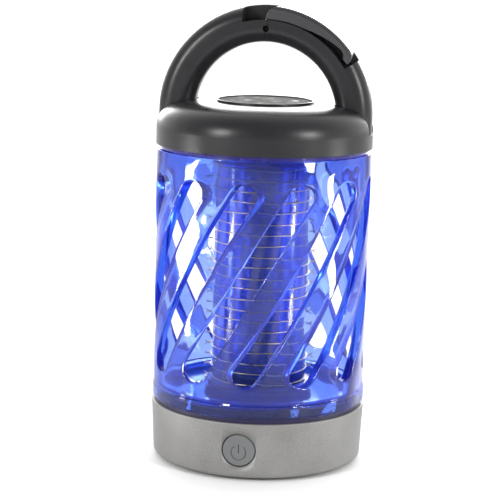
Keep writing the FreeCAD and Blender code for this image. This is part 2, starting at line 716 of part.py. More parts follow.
def hanging_hook():
    """Hook folded along the ring: rounded nose and eye at its left, claw-shaped tip at its right."""
    low_r = POCKET_FLOOR_R + HOOK_GAP
    nose_foot = ring_point(low_r, 0.2)
    nose_top = ring_point(RING_OUT_R, 7.5)
    tip_out = ring_point(RING_OUT_R, 51.5)
    tip_end = ring_point(44.9, 57.4)
    claw = ring_point(44.6, 53.4)
    gap_high = ring_point(46.5, 48.5)
    gap_start = ring_point(low_r, 24.0)
    edges = [arc_through(nose_foot, ring_point(46.9, 1.6), nose_top),
             arc_through(nose_top, ring_point(RING_OUT_R, 30.0), tip_out),
             arc_through(tip_out, ring_point(48.2, 55.6), tip_end),
             Part.makeLine(tip_end, claw),
             arc_through(claw, ring_point(46.0, 51.3), gap_high),
             arc_through(gap_high, ring_point(44.9, 37.0), gap_start),
             arc_through(gap_start, ring_point(low_r, 12.0), nose_foot)]
    y_high = POCKET_BACK_Y - HOOK_GAP
    bar = plate_y(edges, HOOK_FACE_Y, y_high).common(hook_envelope())
    neck_edges = Part.makePolygon([vec(-0.6, 0, 203.6), vec(0.3, 0, 206.0), vec(6.4, 0, 206.0),
                                   vec(5.6, 0, 203.4), vec(3.3, 0, 199.6), vec(-2.3, 0, 199.6),
                                   vec(-0.6, 0, 203.6)]).Edges
    neck = plate_y(neck_edges, EYE_FACE_Y, y_high)
    eye = rod_y(EYE_R, EYE_FACE_Y, y_high, PIN_X, PIN_Z)
    hook = bar.multiFuse([neck, eye])
    return hook.cut(rod_y(PIN_R + 0.05, -30, 30, PIN_X, PIN_Z)).removeSplitter()


# ---- build ---------------------------------------------------------------------------------------------
os.makedirs("parts", exist_ok=True)
PARTS = {
    "base_housing": base_housing, "base_plate": base_plate, "rubber_feet": rubber_feet,
    "base_screws": base_screws, "power_button": power_button, "switch_plunger": switch_plunger,
    "tact_switch": tact_switch, "switch_board": switch_board, "control_board": control_board,
    "board_screws": board_screws, "transformer_core": transformer_core,
    "transformer_coil": transformer_coil, "hv_capacitors": hv_capacitors,
    "battery_cell": battery_cell, "battery_holder": battery_holder,
    "battery_contacts": battery_contacts, "charging_board": charging_board,
    "charging_socket": charging_socket, "lock_ring": lock_ring, "insect_dish": insect_dish,
    "grid_frame": grid_frame, "grid_sleeve": grid_sleeve, "lamp_tube": lamp_tube,
    "lamp_holder": lamp_holder, "lamp_cap": lamp_cap, "led_board": led_board, "uv_leds": uv_leds,
    "cage_top": cage_top, "cage_crown": cage_crown, "cage_ribs": cage_ribs,
    "cage_collar": cage_collar, "cap_shell": cap_shell, "cap_plate": cap_plate,
    "cap_screws": cap_screws, "cap_disc": cap_disc, "handle_ring": handle_ring,
    "handle_screws": handle_screws, "hook_pin": hook_pin, "hanging_hook": hanging_hook,
}
for name, maker in PARTS.items():
    save(name, maker())
save("wire_rings_live", wire_rings(0, ROD_LIVE_DEG))
save("wire_rings_return", wire_rings(1, ROD_RETURN_DEG))
save("contact_rod_live", contact_rod(ROD_LIVE_DEG))
save("contact_rod_return", contact_rod(ROD_RETURN_DEG))
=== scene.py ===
import math

import bpy
import bmesh
from mathutils import Matrix, Vector

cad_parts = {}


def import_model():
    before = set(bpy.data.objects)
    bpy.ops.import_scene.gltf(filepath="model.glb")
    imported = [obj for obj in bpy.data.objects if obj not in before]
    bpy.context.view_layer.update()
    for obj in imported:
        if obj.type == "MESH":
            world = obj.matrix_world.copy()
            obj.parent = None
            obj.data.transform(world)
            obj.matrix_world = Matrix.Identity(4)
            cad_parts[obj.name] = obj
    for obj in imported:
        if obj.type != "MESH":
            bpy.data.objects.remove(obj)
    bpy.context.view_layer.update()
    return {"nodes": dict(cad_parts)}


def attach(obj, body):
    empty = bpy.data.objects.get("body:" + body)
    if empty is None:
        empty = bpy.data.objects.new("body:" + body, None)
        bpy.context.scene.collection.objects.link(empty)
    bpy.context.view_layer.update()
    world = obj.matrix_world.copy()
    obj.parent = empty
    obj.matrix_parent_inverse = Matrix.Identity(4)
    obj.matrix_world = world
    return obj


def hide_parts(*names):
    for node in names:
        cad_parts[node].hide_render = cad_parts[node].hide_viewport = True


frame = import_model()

# Looks of a hanging electric bug zapper. Lengths are in millimetres and turned into metres
# by the mesh helpers. +Z is up and the power button faces -Y.

MM = 0.001

# ---- dimensions shared by several pieces, as in the CAD model ------------------------------
BODY_R = 50.0
BASE_FOOT_R = 48.8
BASE_MOUTH_R = 44.0      # opening that the bottom plate closes
BASE_NECK_R = 43.5
BASE_NECK_IN_R = 41.7
WIRE_HOLE_R = 4.0        # hole in the top deck for the lamp's wires
BASE_LOW_Z = 1.5
BASE_TOP_Z = 27.0
BASE_NECK_Z = 30.0
BASE_DECK_Z = 24.8       # underside of the base's top deck
BUTTON_Z = 14.5
BUTTON_R = 7.5
BUTTON_GAP = 0.35
SOCKET_Z = 10.0
SOCKET_HALF_W = 3.0      # from the middle to the centre of each round end
SOCKET_R = 1.75
CAGE_IN_R = 45.5
CAGE_FOOT_R = 49.3       # outside of the wall at its foot
CAGE_FOOT_Z = 35.3
COLLAR_R = 49.75
CAGE_LOW_Z = 29.12
CAGE_TOP_Z = 145.2       # top of the wall, where the narrower neck begins
CAGE_NECK_R = 47.8
CAGE_NECK_TOP_Z = 148.2
CAGE_MOUTH_R = 39.8
CAGE_MID_R = 49.5        # radius at which the slots are laid out
SLOT_COUNT = 12
SLOT_LOW_Z = 43.0
SLOT_HIGH_Z = 134.5
SLOT_HALF_W = 5.4
SLOT_SPAN_DEG = 55.5
SLOT_FIRST_DEG = 1.25
GRID_R = 22.5
WIRE_R = 0.22
RING_COUNT = 21
RING_LOW_Z = 37.9
RING_PITCH = 4.99
TAIL_LEFT_DEG = -80.0
TAIL_RIGHT_DEG = 100.0
TAIL_REACH_R = 25.5
ROD_LIVE_DEG = 174.0
ROD_RETURN_DEG = 206.0
ROD_SPOT_R = 25.2

# ---- camera, as a distance, an azimuth and a tilt about the object's own axis ---------------
CAMERA_AZIMUTH = 9.667
CAMERA_DISTANCE = 813.4
CAMERA_HEIGHT = 243.2
CAMERA_SIDESTEP = -5.37
CAMERA_TILT_DOWN = 10.168
CAMERA_ROLL = -1.484
CAMERA_LENS = 127.4
CAMERA_SENSOR = 36.0


# ---- mesh helpers ------------------------------------------------------------------------------
def polar(radius, angle_deg, z):
    """Point from a radius and an angle measured from -Y towards +X."""
    angle = math.radians(angle_deg)
    return Vector((radius * math.sin(angle), -radius * math.cos(angle), z))


def finish_mesh(name, bm, body, material, smooth_deg=35.0):
    """Turns a millimetre bmesh into a piece that rides on a body."""
    bmesh.ops.remove_doubles(bm, verts=bm.verts, dist=0.0005)
    bmesh.ops.recalc_face_normals(bm, faces=bm.faces)
    bmesh.ops.scale(bm, vec=(MM, MM, MM), verts=bm.verts)
    mesh = bpy.data.meshes.new(name)
    bm.to_mesh(mesh)
    bm.free()
    mesh.shade_smooth()
    mesh.set_sharp_from_angle(angle=math.radians(smooth_deg))
    piece = bpy.data.objects.new(name, mesh)
    bpy.context.collection.objects.link(piece)
    mesh.materials.append(material)
    if body:
        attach(piece, body)
    return piece


def grid_patch(bm, rows, closed_rows=False, closed_columns=False):
    """Quads through a grid of points given row by row."""
    made = [[bm.verts.new(point) for point in row] for row in rows]
    row_count = len(made) if closed_rows else len(made) - 1
    width = len(made[0])
    column_count = width if closed_columns else width - 1
    for i in range(row_count):
        below = made[i]
        above = made[(i + 1) % len(made)]
        for j in range(column_count):
            corners = [below[j], below[(j + 1) % width], above[(j + 1) % width], above[j]]
            if len({tuple(corner.co) for corner in corners}) >= 3:
                bm.faces.new(corners)


def rounded_path(corners, steps=5):
    """Closed path through (r, z, fillet radius) corners, with each corner rounded."""
    path = []
    count = len(corners)
    for i, (r, z, radius) in enumerate(corners):
        here = Vector((r, z))
        before = Vector(corners[i - 1][:2])
        after = Vector(corners[(i + 1) % count][:2])
        if radius <= 0:
            path.append(here)
            continue
        to_before = (before - here).normalized()
        to_after = (after - here).normalized()
        half = to_before.angle(to_after) / 2.0
        reach = radius / math.tan(half)
        start = here + to_before * reach
        end = here + to_after * reach
        middle = here + (to_before + to_after).normalized() * (radius / math.sin(half))
        for k in range(steps + 1):
            t = k / steps
            spoke = (start - middle).lerp(end - middle, t).normalized()
            path.append(middle + spoke * radius)
    return path


def lathe(bm, path, steps):
    """Surface of revolution about Z through a closed (r, z) path."""
    angles = [360.0 * k / steps for k in range(steps)]
    rows = [[polar(point[0], angle, point[1]) for angle in angles] for point in path]
    grid_patch(bm, rows, closed_rows=True, closed_columns=True)


def tube_along(bm, points, radius, sides=8, closed=False):
    """Round tube through points, with its section carried along without twist."""
    count = len(points)
    rows = []
    side = None
    for i, point in enumerate(points):
        ahead = points[(i + 1) % count] if closed or i + 1 < count else point
        behind = points[i - 1] if closed or i > 0 else point
        along = (ahead - behind).normalized()
        if side is None:
            side = along.orthogonal().normalized()
        side = (side - along * side.dot(along)).normalized()
        other = along.cross(side)
        rows.append([point + (side * math.cos(a) + other * math.sin(a)) * radius
                     for a in (2 * math.pi * k / sides for k in range(sides))])
    grid_patch(bm, rows, closed_rows=closed, closed_columns=True)
    if not closed:
        for row, centre in ((rows[0], points[0]), (rows[-1], points[-1])):
            hub = bm.verts.new(centre)
            ring = [bm.verts.new(point) for point in row]
            for k in range(sides):
                bm.faces.new([hub, ring[k], ring[(k + 1) % sides]])


def cut_away(piece, cutters):
    """Takes closed cutter meshes out of a piece, for good."""
    for cutter in cutters:
        modifier = piece.modifiers.new("cut", "BOOLEAN")
        modifier.object = cutter
        modifier.operation = "DIFFERENCE"
        modifier.solver = "EXACT"
    apply_modifiers(piece)
    for cutter in cutters:
        bpy.data.objects.remove(cutter)


def apply_modifiers(piece):
    """Bakes a piece's modifiers into its mesh."""
    graph = bpy.context.evaluated_depsgraph_get()
    mesh = bpy.data.meshes.new_from_object(piece.evaluated_get(graph))
    piece.modifiers.clear()
    piece.data = mesh


def rod(name, radius, start, end, sides=64):
    """Closed round cutter between two points."""
    bm = bmesh.new()
    tube_along(bm, [Vector(start), Vector(end)], radius, sides)
    return finish_mesh(name, bm, None, WORK_MATERIAL)


# ---- material helpers ----------------------------------------------------------------------------
WORK_MATERIAL = bpy.data.materials.new("work")
WORN_EDGE = 0.35         # radius that sharp moulded edges look rounded by
SLOW_TONE_MM = 18.0      # size of the slow changes of tone and gloss on plastic
CLEAR_TONE_MM = 30.0     # the same for clear plastic
CLEAR_GLOSS_MM = 6.0
METAL_GRAIN_MM = 0.4
METAL_GLOSS_MM = 5.0


class Shader:
    """One material's node tree, with short calls for the nodes it uses."""

    def __init__(self, name):
        self.material = bpy.data.materials.new(name)
        self.material.use_nodes = True
        self.tree = self.material.node_tree
        self.main = self.tree.nodes["Principled BSDF"]
        self.place = self.tree.nodes.new("ShaderNodeTexCoord").outputs["Object"]

    def node(self, kind, **values):
        made = self.tree.nodes.new(kind)
        for key, value in values.items():
            setattr(made, key, value)
        return made

    def link(self, source, target):
        self.tree.links.new(source, target)

    def noise(self, size_mm, detail=2.0, rough=0.5):
        """Noise with features of about that size."""
        noise = self.node("ShaderNodeTexNoise")
        noise.inputs["Scale"].default_value = 1.0 / (size_mm * MM)
        noise.inputs["Detail"].default_value = detail
        noise.inputs["Roughness"].default_value = rough
        self.link(self.place, noise.inputs["Vector"])
        return noise.outputs["Fac"]

    def spread(self, source, low, high, from_low=0.3, from_high=0.7):
        """Maps a value onto a range."""
        ranger = self.node("ShaderNodeMapRange")
        ranger.inputs["From Min"].default_value = from_low
        ranger.inputs["From Max"].default_value = from_high
        ranger.inputs["To Min"].default_value = low
        ranger.inputs["To Max"].default_value = high
        self.link(source, ranger.inputs["Value"])
        return ranger.outputs["Result"]

    def mix(self, factor, first, second):
        """Colour between two colours by a factor."""
        mixer = self.node("ShaderNodeMix", data_type="RGBA")
        self.link(factor, mixer.inputs["Factor"])
        mixer.inputs["A"].default_value = (*first, 1.0)
        mixer.inputs["B"].default_value = (*second, 1.0)
        return mixer.outputs["Result"]

    def bump(self, source, height_mm):
        """Raises the surface by a value, on top of any bump or edge it has."""
        bump = self.node("ShaderNodeBump")
        bump.inputs["Strength"].default_value = 1.0
        bump.inputs["Distance"].default_value = height_mm * MM
        self.link(source, bump.inputs["Height"])
        if self.main.inputs["Normal"].is_linked:
            self.link(self.main.inputs["Normal"].links[0].from_socket, bump.inputs["Normal"])
        self.link(bump.outputs["Normal"], self.main.inputs["Normal"])

    def worn_edges(self, radius_mm):
        """Shades sharp edges as if they were rounded by a small radius."""
        bevel = self.node("ShaderNodeBevel", samples=6)
        bevel.inputs["Radius"].default_value = radius_mm * MM
        self.link(bevel.outputs["Normal"], self.main.inputs["Normal"])

    def soak(self, red, green, blue):
        """Light taken up inside the material, as losses per metre of each colour."""
        density = max(red, green, blue)
        absorber = self.node("ShaderNodeVolumeAbsorption")
        kept = [1.0 - loss / density for loss in (red, green, blue)]
        absorber.inputs["Color"].default_value = (*kept, 1.0)
        absorber.inputs["Density"].default_value = density
        self.link(absorber.outputs["Volume"], self.tree.nodes["Material Output"].inputs["Volume"])

    def haze(self, colour, share):
        """Replaces a share of the clear look by light scattered in cloudy plastic."""
        cloud = self.node("ShaderNodeBsdfTranslucent")
        cloud.inputs["Color"].default_value = (*colour, 1.0)
        mixer = self.node("ShaderNodeMixShader")
        mixer.inputs["Fac"].default_value = share
        self.link(self.main.outputs["BSDF"], mixer.inputs[1])
        self.link(cloud.outputs["BSDF"], mixer.inputs[2])
        self.link(mixer.outputs["Shader"], self.tree.nodes["Material Output"].inputs["Surface"])

    def set(self, **values):
        """Constant values on the main shader's sockets, with _ for a space."""
        for key, value in values.items():
            self.main.inputs[key.replace("_", " ")].default_value = value


def moulded(name, dark, light, rough, grain_mm, grain_height, speckle_mm=0.0, metallic=0.0, gloss=0.5):
    """Moulded or painted plastic with a fine grain and slow changes of tone and gloss."""
    shader = Shader(name)
    slow = shader.noise(SLOW_TONE_MM, 3.0)
    fine = shader.noise(speckle_mm or grain_mm, 2.0)
    tone = shader.node("ShaderNodeMath", operation="ADD")
    shader.link(shader.spread(slow, 0.0, 0.35), tone.inputs[0])
    shader.link(shader.spread(fine, 0.0, 0.65), tone.inputs[1])
    shader.link(shader.mix(tone.outputs[0], dark, light), shader.main.inputs["Base Color"])
    shader.link(shader.spread(slow, rough - 0.04, rough + 0.05), shader.main.inputs["Roughness"])
    shader.worn_edges(WORN_EDGE)
    shader.bump(shader.noise(grain_mm, 3.0), grain_height)
    shader.set(Metallic=metallic, Specular_IOR_Level=gloss)
    return shader.material


def clear_plastic(name, colour, rough, ripples, clarity=1.0, gloss=0.5, soak=None, haze=None):
    """Tinted see-through plastic with the ripple of a moulding; clarity under 1 makes it milky.

    Each ripple is a size and a height in millimetres. Soak is the light lost per metre as red,
    green and blue, and haze is a colour and its share.
    """
    shader = Shader(name)
    slow = shader.noise(CLEAR_TONE_MM)
    deeper = tuple(value * 0.92 for value in colour)
    shader.link(shader.mix(shader.spread(slow, 0.0, 1.0), deeper, colour),
                shader.main.inputs["Base Color"])
    shader.link(shader.spread(shader.noise(CLEAR_GLOSS_MM), rough * 0.7, rough * 1.5),
                shader.main.inputs["Roughness"])
    for size_mm, height_mm in ripples:
        shader.bump(shader.noise(size_mm, detail=0.0), height_mm)
    if soak:
        shader.soak(*soak)
    if haze:
        shader.haze(*haze)
    shader.set(Transmission_Weight=clarity, IOR=1.49, Specular_IOR_Level=gloss)
    return shader.material


def metal(name, dark, light, rough):
    """Bare or plated metal with a fine grain and some dulling."""
    shader = Shader(name)
    grain = shader.noise(METAL_GRAIN_MM, 3.0)
    shader.link(shader.mix(shader.spread(grain, 0.0, 1.0), dark, light),
                shader.main.inputs["Base Color"])
    shader.link(shader.spread(shader.noise(METAL_GLOSS_MM), rough - 0.06, rough + 0.08),
                shader.main.inputs["Roughness"])
    shader.bump(grain, 0.01)
    shader.set(Metallic=1.0)
    return shader.material


# ---- materials -------------------------------------------------------------------------------------
BASE_PAINT = moulded("base_paint", (0.13, 0.128, 0.123), (0.26, 0.257, 0.247), rough=0.45,
                     grain_mm=0.22, grain_height=0.01, speckle_mm=0.32, metallic=0.2)
BASE_UNDER = moulded("base_under", (0.012, 0.012, 0.013), (0.025, 0.025, 0.027), rough=0.55,
                     grain_mm=0.4, grain_height=0.02)
FOOT_RUBBER = moulded("foot_rubber", (0.008, 0.008, 0.008), (0.02, 0.02, 0.02), rough=0.8,
                      grain_mm=0.6, grain_height=0.03)
BUTTON_GREY = moulded("button_plastic", (0.100, 0.105, 0.106), (0.140, 0.146, 0.148), rough=0.42,
                      grain_mm=0.3, grain_height=0.008)
CHARCOAL = moulded("charcoal", (0.008, 0.008, 0.009), (0.018, 0.018, 0.020), rough=0.30,
                   grain_mm=0.32, grain_height=0.022, gloss=0.3)
HOOK_CHARCOAL = moulded("hook_charcoal", (0.010, 0.010, 0.012), (0.020, 0.020, 0.023), rough=0.22,
                        grain_mm=0.35, grain_height=0.01, gloss=1.0)
# Near black with almost no gloss: painted shade, so the hook pin reads as the dark hole it sits in.
PIN_PAINTED_SHADE = moulded("pin_black", (0.002, 0.002, 0.002), (0.004, 0.004, 0.004), rough=0.6,
                    grain_mm=0.4, grain_height=0.01, gloss=0.05)
# Near-black indigo for the lock ring: painted shade for the shadow gap between the base and the cage.
LOCK_RING_PAINTED_SHADE = moulded("dark_ring", (0.008, 0.006, 0.03), (0.02, 0.015, 0.06), rough=0.35,
                    grain_mm=0.5, grain_height=0.01, gloss=0.3)
BLACK = moulded("holder_black", (0.010, 0.010, 0.011), (0.025, 0.025, 0.027), rough=0.5,
                grain_mm=0.4, grain_height=0.02)
LED_BLUE = moulded("led_board_blue", (0.020, 0.030, 0.24), (0.035, 0.050, 0.34), rough=0.35,
                   grain_mm=0.6, grain_height=0.01)
LED_LENS = moulded("led_lens", (0.10, 0.12, 0.45), (0.16, 0.18, 0.60), rough=0.15,
                   grain_mm=0.5, grain_height=0.01)
BOARD_GREEN = moulded("board_green", (0.006, 0.045, 0.02), (0.012, 0.075, 0.03), rough=0.35,
                      grain_mm=0.6, grain_height=0.01)
FERRITE = moulded("ferrite", (0.010, 0.010, 0.011), (0.022, 0.022, 0.024), rough=0.6,
                  grain_mm=0.5, grain_height=0.02)
COIL_TAPE = moulded("coil_tape", (0.42, 0.28, 0.02), (0.58, 0.40, 0.04), rough=0.3,
                    grain_mm=0.8, grain_height=0.01)
CAPACITOR_RED = moulded("capacitor_red", (0.20, 0.02, 0.01), (0.33, 0.04, 0.015), rough=0.2,
                        grain_mm=0.8, grain_height=0.01)
CELL_WRAP = moulded("cell_wrap", (0.01, 0.05, 0.24), (0.02, 0.08, 0.34), rough=0.25,
                    grain_mm=1.0, grain_height=0.005)
NICKEL = metal("contact_nickel", (0.50, 0.50, 0.48), (0.72, 0.72, 0.70), rough=0.25)
WIRE = metal("grid_wire", (0.42, 0.34, 0.21), (0.66, 0.58, 0.40), rough=0.3)
ROD_STEEL = metal("rod_steel", (0.45, 0.45, 0.46), (0.68, 0.68, 0.68), rough=0.35)
SCREW_STEEL = metal("screw_steel", (0.38, 0.38, 0.39), (0.60, 0.60, 0.61), rough=0.35)
CAGE_BLUE = clear_plastic("cage_blue", (0.72, 0.79, 0.99), rough=0.035, gloss=0.35,
                          ripples=((26.0, 4.5), (7.0, 0.12)), soak=(230.0, 150.0, 24.0),
                          haze=((0.24, 0.22, 0.95), 0.13))
# Darker, mostly opaque copy of the cage blue: painted shade for the neck where it sits inside the cap.
CAGE_NECK_PAINTED_SHADE = clear_plastic("cage_neck_painted_shade", (0.03, 0.02, 0.22), rough=0.2, clarity=0.3,
                               ripples=((9.0, 0.1),))
SLEEVE_BLUE = clear_plastic("sleeve_blue", (0.28, 0.36, 0.94), rough=0.15, clarity=0.97, gloss=0.0,
                            ripples=((9.0, 0.1),))
LAMP_BLUE = clear_plastic("lamp_glass", (0.06, 0.09, 0.80), rough=0.2, clarity=0.85, gloss=0.05,
                          ripples=((9.0, 0.05),))
FRAME_BLUE = clear_plastic("frame_blue", (0.07, 0.08, 0.68), rough=0.12, clarity=0.75, gloss=0.2,
                           ripples=((9.0, 0.05),))
DISH_BLUE = clear_plastic("dish_blue", (0.12, 0.20, 0.80), rough=0.12, clarity=0.7, gloss=0.3,
                          ripples=((9.0, 0.1),))


def disc_grey():
    """Grey plate with blotches of higher and lower gloss."""
    shader = Shader("disc_grey")
    blotches = shader.noise(5.0, 4.0, 0.6)
    shader.link(shader.mix(shader.spread(blotches, 0.0, 1.0), (0.10, 0.10, 0.098), (0.20, 0.20, 0.195)),
                shader.main.inputs["Base Color"])
    shader.link(shader.spread(blotches, 0.42, 1.0, 0.66, 0.56), shader.main.inputs["Roughness"])
    shader.worn_edges(WORN_EDGE)
    shader.bump(shader.noise(0.6, 3.0), 0.05)
    shader.set(Specular_IOR_Level=0.1)
    return shader.material


DISC_GREY = disc_grey()


# ---- base --------------------------------------------------------------------------------------------
def socket_mouth():
    """Cutter with round ends for the charging inlet at the back."""
    bm = bmesh.new()
    outline = []
    for sign in (1, -1):
        for k in range(17):
            angle = math.radians(90.0 - 180.0 * k / 16)
            across = SOCKET_HALF_W + SOCKET_R * math.cos(angle)
            outline.append((sign * across, SOCKET_Z + sign * SOCKET_R * math.sin(angle)))
    rows = [[Vector((x, y, z)) for x, z in outline] for y in (40.0, 60.0)]
    grid_patch(bm, rows, closed_columns=True)
    for row in rows:
        bm.faces.new([bm.verts.new(point) for point in row])
    return finish_mesh("socket_mouth", bm, None, WORK_MATERIAL)


def base_housing():
    """Painted cup, with the bore for the button and the window for the inlet."""
    bm = bmesh.new()
    corners = [(BASE_MOUTH_R, BASE_LOW_Z, 0.4), (BASE_FOOT_R, BASE_LOW_Z, 1.8), (BODY_R, BASE_TOP_Z, 0.4),
               (BASE_NECK_R, BASE_TOP_Z, 0), (BASE_NECK_R, BASE_NECK_Z, 0.3),
               (BASE_NECK_IN_R, BASE_NECK_Z, 0.3), (BASE_NECK_IN_R, BASE_TOP_Z, 0),
               (WIRE_HOLE_R, BASE_TOP_Z, 0), (WIRE_HOLE_R, BASE_DECK_Z, 0),
               (47.6, BASE_DECK_Z, 0.5), (46.6, 4.3, 0.5), (BASE_MOUTH_R, 4.2, 0.3)]
    lathe(bm, rounded_path(corners, 8), 288)
    housing = finish_mesh("base_housing_look", bm, "base", BASE_PAINT, 30)
    bore = rod("bore", BUTTON_R + BUTTON_GAP, (0, -60, BUTTON_Z), (0, -40, BUTTON_Z), 96)
    cut_away(housing, [bore, socket_mouth()])
    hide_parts("base_housing")


def carried_over():
    """CAD pieces whose shape is right keep it and get their material here."""
    looks = {
        "base_plate": BASE_UNDER, "rubber_feet": FOOT_RUBBER, "base_screws": SCREW_STEEL,
        "power_button": BUTTON_GREY, "switch_plunger": BLACK, "tact_switch": BLACK,
        "switch_board": BOARD_GREEN, "control_board": BOARD_GREEN, "board_screws": SCREW_STEEL,
        "transformer_core": FERRITE, "transformer_coil": COIL_TAPE, "hv_capacitors": CAPACITOR_RED,
        "battery_cell": CELL_WRAP, "battery_holder": BLACK, "battery_contacts": NICKEL,
        "charging_board": BOARD_GREEN, "charging_socket": NICKEL,
        # The lock ring's material is painted shade for the gap between base and cage.
        "lock_ring": LOCK_RING_PAINTED_SHADE, "insect_dish": DISH_BLUE, "grid_frame": FRAME_BLUE,
        "grid_sleeve": SLEEVE_BLUE, "lamp_tube": LAMP_BLUE, "lamp_holder": BLACK,
        "lamp_cap": BLACK, "led_board": LED_BLUE, "uv_leds": LED_LENS,
        "contact_rod_live": ROD_STEEL, "contact_rod_return": ROD_STEEL,
        "cap_shell": CHARCOAL, "cap_plate": BLACK, "cap_screws": SCREW_STEEL, "cap_disc": DISC_GREY,
        # The hook pin's material is painted shade for the hole round it.
        "handle_ring": CHARCOAL, "handle_screws": SCREW_STEEL, "hook_pin": PIN_PAINTED_SHADE,
        "hanging_hook": HOOK_CHARCOAL,
    }
    for node, material in looks.items():
        for slot in frame["nodes"][node].material_slots:
            slot.material = material


# ---- cage --------------------------------------------------------------------------------------------
SLOT_EDGE = 0.7          # rounding of the slot edges
CAGE_FLARE = 0.4 / 110.0 # how much the radius grows with the height
BELT_MARGIN = 1.6        # gap between a slot's side and the columns of the belts
SIDE_STEPS = 40
END_STEPS = 16
RIB_STEPS = 8
EDGE_STEPS = 4
BELT_STEPS = 6
BELT_LOW_Z = 39.5
BELT_HIGH_Z = 138.5
CAGE_SHADE_FROM_Z = CAGE_TOP_Z + 0.05      # above it the neck is inside the cap, and its shade there is painted as a darker copy of the blue
SLOT_LEAN = CAGE_MID_R * math.sin(math.radians(SLOT_SPAN_DEG / 2.0))
SLOT_LOW = Vector((-SLOT_LEAN, SLOT_LOW_Z + SLOT_HALF_W))
SLOT_HIGH = Vector((SLOT_LEAN, SLOT_HIGH_Z - SLOT_HALF_W))
SLOT_RUN = (SLOT_HIGH - SLOT_LOW).normalized()
SLOT_SIDE = Vector((SLOT_RUN.y, -SLOT_RUN.x))


def cage_out_r(z):
    """Outer radius of the cage wall, which widens a little upwards."""
    return CAGE_FOOT_R + CAGE_FLARE * (z - CAGE_FOOT_Z)


def slot_side(sign, offset):
    """Points up one long side of a slot, across and up in the slot's own flat view."""
    push = SLOT_SIDE * (SLOT_HALF_W + offset) * sign
    return [SLOT_LOW.lerp(SLOT_HIGH, k / SIDE_STEPS) + push for k in range(SIDE_STEPS + 1)]


def slot_end(centre, start_deg, end_deg, offset):
    """Points round one end of a slot."""
    points = []
    for k in range(END_STEPS + 1):
        angle = math.radians(start_deg + (end_deg - start_deg) * k / END_STEPS)
        spoke = SLOT_SIDE * math.cos(angle) + SLOT_RUN * math.sin(angle)
        points.append(centre + spoke * (SLOT_HALF_W + offset))
    return points


def on_wall(flat, middle_deg, radius):
    """Angle and height on the cage wall of a point in a slot's flat view."""
    return (middle_deg + math.degrees(math.asin(flat.x / radius)), flat.y)


def between(a, b, steps):
    """Points from one (angle, height) to another, both ends included."""
    return [(a[0] + (b[0] - a[0]) * k / steps, a[1] + (b[1] - a[1]) * k / steps) for k in range(steps + 1)]


def cage_skin(bm, radius_at, offset):
    """Wall surface between and around the slots; gives the columns of its two edges."""
    step = 360.0 / SLOT_COUNT
    margin = math.degrees((SLOT_HALF_W + BELT_MARGIN) / CAGE_MID_R)
    belts = {}
    for index in range(SLOT_COUNT):
        middle = SLOT_FIRST_DEG + step * index

        def place(point):
            return polar(radius_at(point[1]), point[0], point[1])

        def wall(flat, slot_middle):
            return on_wall(flat, slot_middle, radius_at(flat.y))

        left = [wall(p, middle) for p in slot_side(1, offset)]
        right = [wall(p, middle + step) for p in slot_side(-1, offset)]
        rows = [[place(point) for point in between(a, b, RIB_STEPS)] for a, b in zip(left, right)]
        grid_patch(bm, rows)
        for centre, start, end, edge, level in ((SLOT_HIGH, 180, 0, -1, BELT_HIGH_Z),
                                                (SLOT_LOW, 180, 360, 0, BELT_LOW_Z)):
            near = between(left[edge], right[edge], RIB_STEPS)
            near += [wall(p, middle + step) for p in slot_end(centre, start, end, offset)[1:]]
            centre_deg = on_wall(centre, middle, CAGE_MID_R)[0]
            far = [centre_deg + margin + (step - 2 * margin) * k / RIB_STEPS for k in range(RIB_STEPS + 1)]
            far += [centre_deg + step - margin + 2 * margin * k / END_STEPS for k in range(1, END_STEPS + 1)]
            belt_rows = []
            for k in range(BELT_STEPS + 1):
                t = k / BELT_STEPS
                belt_rows.append([place((n[0] + (f - n[0]) * t, n[1] + (level - n[1]) * t))
                                  for n, f in zip(near, far)])
            grid_patch(bm, belt_rows)
            belts.setdefault(level, []).extend(far[:-1])
    return belts


def slot_walls(bm):
    """Rounded edges and side walls of every slot, through the thickness of the cage."""
    rounding = []
    for k in range(EDGE_STEPS + 1):
        angle = math.radians(90.0 * k / EDGE_STEPS)
        rounding.append((SLOT_EDGE * (1 - math.sin(angle)), SLOT_EDGE * (1 - math.cos(angle))))
    levels = [(offset, depth, True) for offset, depth in rounding]
    levels += [(offset, depth, False) for offset, depth in reversed(rounding)]
    for index in range(SLOT_COUNT):
        middle = SLOT_FIRST_DEG + index * 360.0 / SLOT_COUNT
        rows = []
        for offset, depth, outside in levels:
            outline = slot_side(1, offset)[:-1] + slot_end(SLOT_HIGH, 0, 180, offset)[:-1]
            outline += slot_side(-1, offset)[::-1][:-1] + slot_end(SLOT_LOW, 180, 360, offset)[:-1]
            row = []
            for flat in outline:
                radius = cage_out_r(flat.y) - depth if outside else CAGE_IN_R + depth
                angle, z = on_wall(flat, middle, radius)
                row.append(polar(radius, angle, z))
            rows.append(row)
        grid_patch(bm, rows, closed_columns=True)


def cage_belt(bm, columns, path):
    """Full ring above or below the slots, on the same columns as the wall between them."""
    rows = [[polar(point[0], angle, point[1]) for angle in columns] for point in path]
    grid_patch(bm, rows, closed_columns=True)


